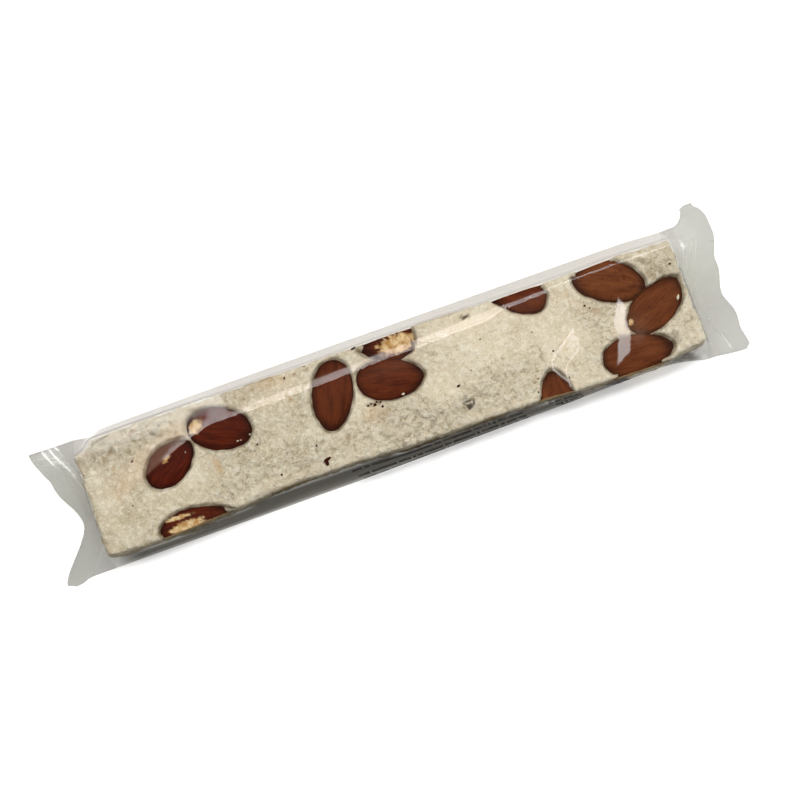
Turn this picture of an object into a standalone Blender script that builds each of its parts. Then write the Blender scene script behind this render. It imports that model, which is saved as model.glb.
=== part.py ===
"""A nougat bar sealed in a clear flow pack, as one closed solid.

The solid is the outer form of the pack: a loose tube of film round a rectangular bar, flat
where it lies on the bar's top and bottom, with a crease along each side at mid height. Past
each end of the bar the tube closes into a crimped seal, whose corners lie flat while its
middle stands up.

+X runs along the bar, +Y to its back and +Z up. The origin is at the middle of the pack's base.
"""

import math

import bmesh
import bpy

MM = 0.001

# The bar inside sets the size of the tube.
BAR_LENGTH = 213 * MM
BAR_WIDTH = 38 * MM
BAR_HEIGHT = 15 * MM

# The tube of film round the bar.
FILM_GAP = 0.3 * MM
TUBE_HEIGHT = BAR_HEIGHT + 2 * FILM_GAP
CREASE_HEIGHT = 0.48 * TUBE_HEIGHT
BACK_CREASE = 21.6 * MM
FRONT_CREASE = 23.5 * MM
# The flat base's half width, and how far in over the bar the upper side's slope runs.
BASE_HALF_WIDTH = 0.5 * BAR_WIDTH + FILM_GAP
SHOULDER = 3.0 * MM
# From 0, a flat slope up from the crease, to 1, a quarter wave.
SIDE_ROUNDNESS = 0.6

# The sealed ends. Both layers of film are one sheet here.
TAPER_LENGTH = 6.0 * MM
SEAL_LENGTH = 9.6 * MM
SEAL_THICKNESS = 0.5 * MM
CRIMP_COUNT = 6
CRIMP_DEPTH = 0.12 * MM
CORNER_DROOP = math.radians(12)

# How finely the form is divided.
ACROSS_STEPS = 22
TAPER_STEPS = 7
STEPS_PER_CRIMP = 4
BODY_STEPS = 14

FILM_COLOUR = (0.78, 0.78, 0.74, 1.0)
FILM_ROUGHNESS = 0.12


class SealedEnd:
    """One end of the pack.

    side is -1 or +1 along X. back and front are the seal's reach to each side of the middle.
    The valley is where the seal stands up, at the angle rise from level, and it eases back to
    level over back_reach and front_reach.
    """

    def __init__(self, side, back, front, valley, back_reach, front_reach, rise):
        self.side = side
        self.back = back
        self.front = front
        self.valley = valley
        self.back_reach = back_reach
        self.front_reach = front_reach
        self.rise = math.radians(rise)

    def standing(self, y):
        """How far the seal stands up at y, from 0 at the corners to 1 in the valley."""
        reach = self.back_reach if y > self.valley else self.front_reach
        return math.exp(-(((y - self.valley) / reach) ** 2))

    def bend(self, y):
        """The seal's angle from level at y."""
        return self.rise * self.standing(y) - CORNER_DROOP * (1 - self.standing(y))


ENDS = (
    SealedEnd(-1, 22.2 * MM, 25.6 * MM, -6.5 * MM, 15 * MM, 11 * MM, 78),
    SealedEnd(+1, 25.6 * MM, 24.6 * MM, -5.5 * MM, 11 * MM, 8 * MM, 50),
)
# How much of the taper's length is left in the valley.
VALLEY_TAPER_SHARE = 0.42


def smooth(t):
    """Eases from 0 to 1."""
    t = min(max(t, 0.0), 1.0)
    return t * t * (3 - 2 * t)


def mix(a, b, share):
    return a + (b - a) * share


def lateral(across, back, front):
    """The Y of a point at across, from -1 at the front crease to +1 at the back one."""
    return across * (back if across > 0 else front)


def tube_heights(across):
    """(upper, lower) height of the tube's film over the bar, at across."""
    crease = BACK_CREASE if across > 0 else FRONT_CREASE
    from_crease = crease * (1 - abs(across))
    upper_run = crease - BASE_HALF_WIDTH + SHOULDER
    lower_run = crease - BASE_HALF_WIDTH
    upper_share = min(from_crease / upper_run, 1.0)
    lower_share = min(from_crease / lower_run, 1.0)
    bulge = math.sin(0.5 * math.pi * upper_share)
    return (
        mix(CREASE_HEIGHT, TUBE_HEIGHT, mix(upper_share, bulge, SIDE_ROUNDNESS)),
        mix(CREASE_HEIGHT, 0.0, smooth(lower_share)),
    )


def across_values():
    """Places across the tube, closer together towards the creases."""
    return [math.sin(0.5 * math.pi * (2 * k / ACROSS_STEPS - 1)) for k in range(ACROSS_STEPS + 1)]


def body_ring(x):
    """Points round the tube at x: the upper half from front to back, then the lower half back."""
    upper, lower = [], []
    for across in across_values():
        y = lateral(across, BACK_CREASE, FRONT_CREASE)
        high, low = tube_heights(across)
        upper.append((x, y, high))
        lower.append((x, y, low))
    return upper + lower[-2:0:-1]


def end_ring(end, taper, seal):
    """Points round a sealed end.

    taper runs from 0 at the bar to 1 where the seal starts, and seal from there to 1 at the cut
    edge.
    """
    upper, lower = [], []
    opened = 1 - smooth(taper)
    crimp = CRIMP_DEPTH * math.sin(2 * math.pi * CRIMP_COUNT * seal)
    for across in across_values():
        y = mix(
            lateral(across, BACK_CREASE, FRONT_CREASE),
            lateral(across, end.back, end.front),
            smooth(0.5 * taper + 0.5 * seal),
        )
        bend = end.bend(y)
        taper_run = TAPER_LENGTH * mix(1.0, VALLEY_TAPER_SHARE, end.standing(y))
        along = taper * taper_run + seal * SEAL_LENGTH * math.cos(bend) - crimp * math.sin(bend)
        middle = CREASE_HEIGHT + seal * SEAL_LENGTH * math.sin(bend) + crimp * math.cos(bend)
        high, low = tube_heights(across)
        at_crease = abs(across) == 1.0
        half = 0.0 if at_crease else 0.5 * SEAL_THICKNESS
        x = end.side * (0.5 * BAR_LENGTH + along)
        upper.append((x, y, mix(middle + half, high, opened)))
        lower.append((x, y, mix(middle - half, low, opened)))
    return upper + lower[-2:0:-1]


def end_rings(end):
    """An end's rings, from its cut edge in to the bar."""
    seal_steps = CRIMP_COUNT * STEPS_PER_CRIMP
    seal = [end_ring(end, 1.0, 1 - k / seal_steps) for k in range(seal_steps)]
    taper = [end_ring(end, 1 - k / TAPER_STEPS, 0.0) for k in range(TAPER_STEPS)]
    return seal + taper


def pack_rings():
    """Every ring of the pack, from the left cut edge to the right one."""
    left, right = ENDS
    span = [BAR_LENGTH * (k / BODY_STEPS - 0.5) for k in range(BODY_STEPS + 1)]
    return end_rings(left) + [body_ring(x) for x in span] + end_rings(right)[::-1]


def close_cut_edge(bm, ring, facing_out):
    """Fills a cut edge with a strip of faces between the seal's upper and lower sides."""
    upper = ring[: ACROSS_STEPS + 1]
    lower = [ring[0]] + ring[:ACROSS_STEPS:-1] + [ring[ACROSS_STEPS]]
    for k in range(ACROSS_STEPS):
        corners = [upper[k], upper[k + 1], lower[k + 1], lower[k]]
        corners = list(dict.fromkeys(corners))
        bm.faces.new(corners if facing_out else corners[::-1])


def loft(rings):
    """A closed mesh through the rings, with both cut edges filled."""
    bm = bmesh.new()
    placed = [[bm.verts.new(point) for point in ring] for ring in rings]
    count = len(placed[0])
    for near, far in zip(placed, placed[1:]):
        for k in range(count):
            after = (k + 1) % count
            bm.faces.new((near[k], far[k], far[after], near[after]))
    close_cut_edge(bm, placed[0], True)
    close_cut_edge(bm, placed[-1], False)
    bmesh.ops.recalc_face_normals(bm, faces=bm.faces)
    return bm


def centre_base(bm):
    """Moves the form so that the middle of its base is at the origin."""
    for axis in (0, 1):
        places = [vert.co[axis] for vert in bm.verts]
        middle = 0.5 * (min(places) + max(places))
        for vert in bm.verts:
            vert.co[axis] -= middle


def film_material():
    material = bpy.data.materials.new("film")
    material.use_nodes = True
    shader = material.node_tree.nodes["Principled BSDF"]
    shader.inputs["Base Color"].default_value = FILM_COLOUR
    shader.inputs["Roughness"].default_value = FILM_ROUGHNESS
    shader.inputs["Metallic"].default_value = 0.0
    return material


def add_pack(collection):
    bm = loft(pack_rings())
    centre_base(bm)
    mesh = bpy.data.meshes.new("sealed_pack")
    bm.to_mesh(mesh)
    bm.free()
    mesh.shade_smooth()
    mesh.set_sharp_from_angle(angle=math.radians(40))
    mesh.materials.append(film_material())
    collection.objects.link(bpy.data.objects.new("sealed_pack", mesh))


def main():
    for obj in list(bpy.data.objects):
        bpy.data.objects.remove(obj)
    collection = bpy.data.collections.new("nougat_bar")
    bpy.context.scene.collection.children.link(collection)
    add_pack(collection)


main()
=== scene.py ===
"""Looks of a nougat bar with almonds in a clear flow pack.

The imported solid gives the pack's box. Round it this script makes the film, the print on it,
the nougat, the almonds in it and their crumbs of skin, with a floor, lights and a camera.
Lengths in this file are in millimetres until a mesh is made. +X runs along the bar, +Y to its
back and +Z up.
"""

import itertools
import math

import bpy
import numpy as np
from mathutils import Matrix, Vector


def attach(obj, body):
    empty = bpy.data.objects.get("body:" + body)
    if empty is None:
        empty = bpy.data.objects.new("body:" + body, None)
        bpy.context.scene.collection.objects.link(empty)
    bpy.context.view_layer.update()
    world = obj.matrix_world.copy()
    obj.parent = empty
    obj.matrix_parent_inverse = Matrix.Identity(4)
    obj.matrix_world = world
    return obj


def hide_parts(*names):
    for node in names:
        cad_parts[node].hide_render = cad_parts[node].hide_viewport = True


MM = 0.001

# The bar of nougat.
BAR_HEIGHT = 14.6
BAR_BASE = 0.35
LOWEST_NOUGAT = 0.2
BAR_LEFT = -104.7
BAR_RIGHT = 105.9
BAR_WIDTH = 37.8

# The film.
CREASE_HEIGHT = 7.5
FILM_TOP = 16.25


def smooth(t):
    """Eases from 0 to 1."""
    t = np.clip(t, 0.0, 1.0)
    return t * t * (3 - 2 * t)


def mix(a, b, share):
    return a + (b - a) * share


def bump(distance, reach):
    """1 at no distance, easing to 0 within about twice the reach."""
    return np.exp(-((distance / reach) ** 2))


def along_points(x, points):
    """A smooth line through (x, value) points without overshoot, level past both ends."""
    places, values = np.array(points, float).T
    steps = np.diff(values) / np.diff(places)
    slopes = np.zeros(len(places))
    least = np.minimum(np.abs(steps[1:]), np.abs(steps[:-1]))
    middle = 0.5 * (steps[1:] + steps[:-1])
    slopes[1:-1] = np.where(steps[1:] * steps[:-1] > 0, np.clip(middle, -2 * least, 2 * least), 0.0)
    x = np.clip(x, places[0], places[-1])
    k = np.clip(np.searchsorted(places, x) - 1, 0, len(places) - 2)
    run = places[k + 1] - places[k]
    t = (x - places[k]) / run
    rise = values[k + 1] - values[k]
    eased = smooth(t)
    bow = t * (1 - t) * ((1 - t) * (slopes[k] * run) - t * (slopes[k + 1] * run))
    return values[k] + rise * eased + bow


def path_distance(points, path):
    """Distance in plan from points (any shape, 2) to a run of straight lines."""
    nearest = np.full(points.shape[:-1], 1e9)
    for a, b in zip(np.array(path[:-1], float), np.array(path[1:], float)):
        run = b - a
        share = np.clip(((points - a) @ run) / max(run @ run, 1e-12), 0, 1)
        off = points - a - share[..., None] * run
        nearest = np.minimum(nearest, np.hypot(off[..., 0], off[..., 1]))
    return nearest


def outline_distance(points, outline):
    """Signed distance in plan from points to a closed outline, negative inside."""
    outline = np.array(outline, float)
    inside = np.zeros(points.shape[:-1], bool)
    for a, b in zip(outline, np.roll(outline, -1, axis=0)):
        rise = b[1] - a[1] if b[1] != a[1] else 1e-12
        crosses = (a[1] > points[..., 1]) != (b[1] > points[..., 1])
        inside ^= crosses & (points[..., 0] < a[0] + (points[..., 1] - a[1]) / rise * (b[0] - a[0]))
    nearest = path_distance(points, np.concatenate([outline, outline[:1]]))
    return np.where(inside, -nearest, nearest)


# ---------------------------------------------------------------- noise


def hashed(seed, *cells):
    """A repeatable number from 0 to 1 for each whole-numbered cell."""
    state = np.full(np.shape(cells[0]), seed * 7919 + 17, np.uint32)
    for cell in cells:
        state = state ^ (cell.astype(np.int64) & 0xFFFFFFFF).astype(np.uint32)
        state = state * np.uint32(0x9E3779B1)
        state = state ^ (state >> np.uint32(15))
        state = state * np.uint32(0x85EBCA77)
        state = state ^ (state >> np.uint32(13))
    return state / 2.0**32


def noise(points, seed):
    """Smooth noise, mostly from -1 to +1, with about one swell to each unit."""
    points = np.asarray(points, float)
    dims = points.shape[-1]
    cell = np.floor(points).astype(np.int64)
    local = points - cell
    fade = local**3 * (local * (local * 6 - 15) + 10)
    total = np.zeros(points.shape[:-1])
    for corner in itertools.product((0, 1), repeat=dims):
        at = cell + np.array(corner)
        keys = [at[..., k] for k in range(dims)]
        weight = np.ones(points.shape[:-1])
        pull = np.zeros(points.shape[:-1])
        for k in range(dims):
            weight = weight * (fade[..., k] if corner[k] else 1 - fade[..., k])
            pull = pull + (2 * hashed(seed + 31 * k, *keys) - 1) * (local[..., k] - corner[k])
        total += weight * pull
    return 2.2 * total


def layered(points, seed, octaves):
    """Noise with finer noise on it."""
    total = 0.0
    for k in range(octaves):
        total = total + noise(np.asarray(points) * 2.03**k, seed + 7 * k) * 0.5**k
    return total


def billows(points, seed, octaves):
    """Round lumps with sharp creases between them, 0 in the creases and mostly under 1."""
    total = 0.0
    for k in range(octaves):
        total = total + np.abs(noise(np.asarray(points) * 2.17**k, seed + 5 * k)) * 0.5**k
    return total


# ---------------------------------------------------------------- meshes


def add_mesh(name, points, faces, material, attributes=None):
    """A smooth-shaded mesh object from points in millimetres."""
    mesh = bpy.data.meshes.new(name)
    mesh.from_pydata((np.asarray(points) * MM).tolist(), [], np.asarray(faces).tolist())
    mesh.shade_smooth()
    mesh.materials.append(material)
    for key, values in (attributes or {}).items():
        values = np.asarray(values, float)
        kind = "FLOAT_VECTOR" if values.ndim == 2 else "FLOAT"
        layer = mesh.attributes.new(key, kind, "POINT")
        field = "vector" if values.ndim == 2 else "value"
        layer.data.foreach_set(field, values.astype(np.float32).ravel())
    piece = bpy.data.objects.new(name, mesh)
    bpy.context.scene.collection.objects.link(piece)
    return piece


def grid_faces(index):
    """Quads between the neighbours of a 2D array of point numbers."""
    return np.stack([index[:-1, :-1], index[1:, :-1], index[1:, 1:], index[:-1, 1:]], -1).reshape(-1, 4)


# ---------------------------------------------------------------- shader helpers


class Shader:
    """A material's node tree, with short calls to add nodes to it."""

    def __init__(self, name):
        self.material = bpy.data.materials.new(name)
        self.material.use_nodes = True
        self.tree = self.material.node_tree
        self.tree.nodes.clear()

    def add(self, kind, inputs=None, **settings):
        node = self.tree.nodes.new(kind)
        for key, value in settings.items():
            setattr(node, key, value)
        for key, value in (inputs or {}).items():
            self.put(node.inputs[key], value)
        return node

    def put(self, socket, value):
        if isinstance(value, bpy.types.NodeSocket):
            self.tree.links.new(value, socket)
        else:
            socket.default_value = value

    def math(self, operation, a, b=0.0, clamp=False):
        node = self.add("ShaderNodeMath", {0: a, 1: b}, operation=operation, use_clamp=clamp)
        return node.outputs[0]

    def blend(self, share, a, b, mode="MIX"):
        node = self.add("ShaderNodeMix", data_type="RGBA", blend_type=mode)
        self.put(node.inputs["Factor"], share)
        self.put(node.inputs["A"], a)
        self.put(node.inputs["B"], b)
        return node.outputs["Result"]

    def noise(self, scale, detail=3.0, roughness=0.5, vector=None, distortion=0.0):
        inputs = {"Scale": scale, "Detail": detail, "Roughness": roughness, "Distortion": distortion}
        node = self.add("ShaderNodeTexNoise", inputs)
        self.put(node.inputs["Vector"], vector or self.place())
        return node.outputs["Fac"]

    def place(self):
        return self.add("ShaderNodeTexCoord").outputs["Object"]

    def value(self, name):
        return self.add("ShaderNodeAttribute", attribute_name=name).outputs["Fac"]

    def vector(self, name):
        return self.add("ShaderNodeAttribute", attribute_name=name).outputs["Vector"]

    def ramp(self, value, low, high):
        """0 below low, 1 above high, eased between."""
        inputs = {"Value": value, "From Min": low, "From Max": high, "To Min": 0.0, "To Max": 1.0}
        node = self.add("ShaderNodeMapRange", inputs, interpolation_type="SMOOTHSTEP")
        return node.outputs["Result"]

    def cells(self, scale, vector):
        """Distance from the middles of scattered cells, about 0 to 1."""
        node = self.add("ShaderNodeTexVoronoi", {"Scale": scale, "Vector": vector})
        return node.outputs["Distance"]

    def warped(self, vector, scale, distance):
        """The place pushed about by a noise."""
        node = self.add("ShaderNodeTexNoise", {"Vector": vector, "Scale": scale, "Detail": 2.0})
        push = self.add("ShaderNodeVectorMath", {0: node.outputs["Color"], 1: (0.5, 0.5, 0.5)}, operation="SUBTRACT")
        far = self.add("ShaderNodeVectorMath", {0: push.outputs[0], "Scale": distance}, operation="SCALE")
        return self.add("ShaderNodeVectorMath", {0: vector, 1: far.outputs[0]}, operation="ADD").outputs[0]

    def darken(self, colour, share, strength, to):
        return self.blend(self.math("MULTIPLY", share, strength), colour, to)

    def scaled(self, vector, scale):
        node = self.add("ShaderNodeMapping", {"Vector": vector, "Scale": scale})
        return node.outputs["Vector"]

    def bump(self, height, distance, strength=1.0, normal=None):
        inputs = {"Height": height, "Distance": distance, "Strength": strength}
        node = self.add("ShaderNodeBump", inputs)
        if normal is not None:
            self.put(node.inputs["Normal"], normal)
        return node.outputs["Normal"]

    def finish(self, surface):
        output = self.add("ShaderNodeOutputMaterial")
        self.tree.links.new(surface, output.inputs["Surface"])
        return self.material


def rgb(red, green, blue):
    """A colour from its 8-bit sRGB values."""
    linear = [((c / 255 + 0.055) / 1.055) ** 2.4 if c > 10 else c / 255 / 12.92 for c in (red, green, blue)]
    return (*linear, 1.0)


# ---------------------------------------------------------------- materials


def nougat_material():
    """Aerated nougat: cream lumps and crumbs, with painted shade in the gaps and pits between them and painted
    highlights on their crests. rough says how lumpy it is.
    """
    shader = Shader("nougat")
    place = shader.place()
    rough = shader.value("rough")
    patches = shader.noise(150.0, 4.0, 0.6, place)
    lumps = shader.noise(300.0, 3.0, 0.6, place, 0.3)
    crumbs = shader.noise(640.0, 4.0, 0.66, place, 0.25)
    grain = shader.noise(1700.0, 3.0, 0.6, place)
    some = shader.math("ADD", shader.math("MULTIPLY", rough, 0.75), 0.25)
    curds = shader.cells(430.0, shader.warped(place, 260.0, 0.0016))
    # Painted shade in the gaps between curds, in pits and in pinholes, where the bump sinks.
    curd_gap_shade = shader.math("MULTIPLY", shader.ramp(curds, 0.42, 0.78), rough)
    pit_shade = shader.math("MULTIPLY", shader.ramp(crumbs, 0.44, 0.31), some)
    pinhole_shade = shader.math("MULTIPLY", shader.ramp(grain, 0.42, 0.30), some)
    colour = shader.blend(shader.value("tone"), rgb(206, 192, 162), rgb(231, 218, 190))
    colour = shader.darken(colour, shader.ramp(patches, 0.45, 0.68), 0.5, rgb(238, 229, 207))
    # Painted highlights on the crests of the crumbs and grain, where the bump rises.
    colour = shader.darken(colour, shader.ramp(crumbs, 0.50, 0.64), 0.6, rgb(247, 240, 221))
    colour = shader.darken(colour, shader.ramp(grain, 0.52, 0.68), 0.4, rgb(252, 247, 234))
    # Painted shade in the pits, pinholes and curd gaps.
    colour = shader.darken(colour, pit_shade, 0.7, rgb(146, 125, 86))
    colour = shader.darken(colour, pinhole_shade, 0.6, rgb(126, 106, 72))
    colour = shader.darken(colour, curd_gap_shade, 0.16, rgb(140, 119, 80))
    colour = shader.blend(shader.value("stain"), colour, rgb(206, 160, 100))
    # Painted shade: darker in the creases, cracks and almond rims, where shade falls.
    colour = shader.blend(shader.value("crevice_shade"), colour, rgb(118, 99, 67))
    # Painted shade in the holes and cracks of the marks, with the dark colour of a few lines.
    colour = shader.blend(shader.value("dark"), colour, rgb(46, 32, 24))
    height = shader.math("MULTIPLY", shader.math("ADD", lumps, shader.math("MULTIPLY", curds, -0.55)), rough)
    height = shader.math("ADD", height, shader.math("MULTIPLY", crumbs, some))
    height = shader.math("ADD", height, shader.math("MULTIPLY", grain, 0.25))
    normal = shader.bump(height, 0.0016, 1.0)
    body = shader.add(
        "ShaderNodeBsdfPrincipled",
        {
            "Base Color": colour,
            "Roughness": 0.75,
            "Specular IOR Level": 0.25,
            "Subsurface Weight": 0.08,
            "Subsurface Radius": (0.0012, 0.0009, 0.0006),
            "Subsurface Scale": 1.0,
            "Normal": normal,
        },
    )
    return shader.finish(body.outputs[0])


def almond_material():
    """Brown skin with fine streaks along the kernel, and pale flesh where the skin is off or cut."""
    shader = Shader("almond")
    grain = shader.vector("grain")
    broad = shader.noise(1.0, 3.0, 0.5, shader.scaled(grain, (0.10, 0.55, 1.0)))
    streaks = shader.noise(1.0, 4.0, 0.6, shader.scaled(grain, (0.13, 2.4, 1.0)))
    threads = shader.noise(1.0, 3.0, 0.6, shader.scaled(grain, (0.22, 7.5, 1.0)))
    mottle = shader.noise(520.0, 4.0, 0.6)
    tone = shader.value("tone")
    dark = shader.blend(tone, rgb(54, 7, 0), rgb(92, 45, 19))
    light = shader.blend(tone, rgb(94, 28, 3), rgb(122, 69, 36))
    mixed = shader.math("ADD", shader.math("MULTIPLY", broad, 0.55), shader.math("MULTIPLY", streaks, 0.45))
    colour = shader.blend(shader.ramp(mixed, 0.32, 0.68), dark, light)
    colour = shader.darken(colour, shader.ramp(threads, 0.58, 0.76), 0.24, rgb(156, 96, 50))
    colour = shader.darken(colour, shader.ramp(threads, 0.42, 0.28), 0.35, rgb(48, 14, 6))
    colour = shader.darken(colour, shader.ramp(mottle, 0.48, 0.3), 0.35, rgb(46, 14, 6))
    colour = shader.blend(shader.value("shade"), colour, rgb(26, 9, 5))
    flesh_tone = shader.noise(480.0, 4.0, 0.65, None, 0.5)
    flesh = shader.blend(shader.ramp(flesh_tone, 0.35, 0.62), rgb(180, 134, 76), rgb(224, 197, 150))
    colour = shader.blend(shader.value("flesh"), colour, flesh)
    height = shader.math("ADD", shader.math("MULTIPLY", threads, 0.5), streaks)
    normal = shader.bump(height, 0.00022, 0.6)
    roughness = shader.add("ShaderNodeMapRange", {"Value": streaks, "To Min": 0.48, "To Max": 0.64})
    body = shader.add(
        "ShaderNodeBsdfPrincipled",
        {
            "Base Color": colour,
            "Roughness": roughness.outputs["Result"],
            "Specular IOR Level": 0.06,
            "Normal": normal,
        },
    )
    return shader.finish(body.outputs[0])


def film_material():
    """Clear film: painted shade darkens it over shadow, milk makes it milky and paints glare, sheen lifts its shine.
    """
    shader = Shader("film")
    sheen = shader.value("sheen")
    facing = shader.add("ShaderNodeLayerWeight", {"Blend": 0.5}).outputs["Facing"]
    grazing = shader.math("MULTIPLY", shader.math("POWER", facing, 5.0), 0.9)
    still = shader.math("ADD", shader.math("MULTIPLY", sheen, 0.22), 0.022)
    dulled = shader.math("ADD", shader.math("MULTIPLY", sheen, 12.0), 1.0, clamp=True)
    mirror = shader.math("ADD", shader.math("MULTIPLY", grazing, dulled), still, clamp=True)
    # Painted shade: the film darkened where the floor beneath it lies in shadow.
    shade_tint = shader.blend(shader.value("shade_tint"), (0.985, 0.985, 0.982, 1.0), (0.16, 0.145, 0.115, 1.0))
    clear = shader.add("ShaderNodeBsdfTransparent", {"Color": shade_tint})
    waves = shader.noise(160.0, 2.0, 0.5)
    normal = shader.bump(waves, 0.0003, 0.12)
    roughness = shader.math("ADD", shader.math("MULTIPLY", sheen, 0.30), 0.08, clamp=True)
    gloss = shader.add("ShaderNodeBsdfGlossy", {"Color": (1, 1, 1, 1), "Roughness": roughness, "Normal": normal})
    film = shader.add("ShaderNodeMixShader", {0: mirror, 1: clear.outputs[0], 2: gloss.outputs[0]})
    # The warm milk on the bar is the colour of the painted glare; the cool milk greys the sealed ends.
    milk_colour = shader.blend(shader.value("cool"), rgb(224, 184, 152), rgb(220, 221, 212))
    milk = shader.add("ShaderNodeBsdfDiffuse", {"Color": milk_colour})
    glow = shader.add("ShaderNodeBsdfTranslucent", {"Color": milk_colour})
    milk_and_glare = shader.add("ShaderNodeMixShader", {0: 0.5, 1: milk.outputs[0], 2: glow.outputs[0]})
    body = shader.add("ShaderNodeMixShader", {0: shader.value("milk_and_glare"), 1: film.outputs[0], 2: milk_and_glare.outputs[0]})
    return shader.finish(body.outputs[0])


def print_material():
    shader = Shader("print")
    wear = shader.noise(2500.0, 3.0, 0.6)
    colour = shader.blend(shader.ramp(wear, 0.35, 0.7), rgb(30, 26, 20), rgb(52, 46, 37))
    body = shader.add("ShaderNodeBsdfPrincipled", {"Base Color": colour, "Roughness": 0.4})
    return shader.finish(body.outputs[0])


def floor_material():
    shader = Shader("floor")
    grain = shader.noise(300.0, 3.0, 0.5)
    colour = shader.blend(grain, rgb(244, 244, 243), rgb(249, 249, 248))
    body = shader.add(
        "ShaderNodeBsdfPrincipled",
        {
            "Base Color": colour,
            "Roughness": 0.85,
            "Specular IOR Level": 0.1,
            "Emission Color": (1.0, 1.0, 1.0, 1.0),
            "Emission Strength": 0.3,
        },
    )
    return shader.finish(body.outputs[0])


# ---------------------------------------------------------------- outlines of the bar

BACK_EDGE = (
    (-105, 14.8), (-101.5, 15.6), (-98, 18.3), (-86, 18.5), (-42, 18.3), (14, 18.1), (36, 17.6),
    (70, 17.2), (87, 17.5), (106, 16.9),
)
FRONT_EDGE = (
    (-105, -19.6), (-101, -20.2), (-85, -20.6), (-58, -19.2), (-41, -18.0), (-14, -18.4), (3, -19.3),
    (36, -19.4), (47, -19.7), (69, -21.0), (89, -21.5), (97, -20.2), (106, -19.4),
)


def bar_back(x):
    return along_points(x, BACK_EDGE)


def bar_front(x):
    return along_points(x, FRONT_EDGE)


# ---------------------------------------------------------------- almonds

ALMOND_RINGS = 72
ALMOND_SIDES = 84
# How much longer and wider a kernel is than what shows of it above the nougat.
HIDDEN_LENGTH = 1.07
HIDDEN_WIDTH = 1.14
KERNEL_DEPTH = 3.4


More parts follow.
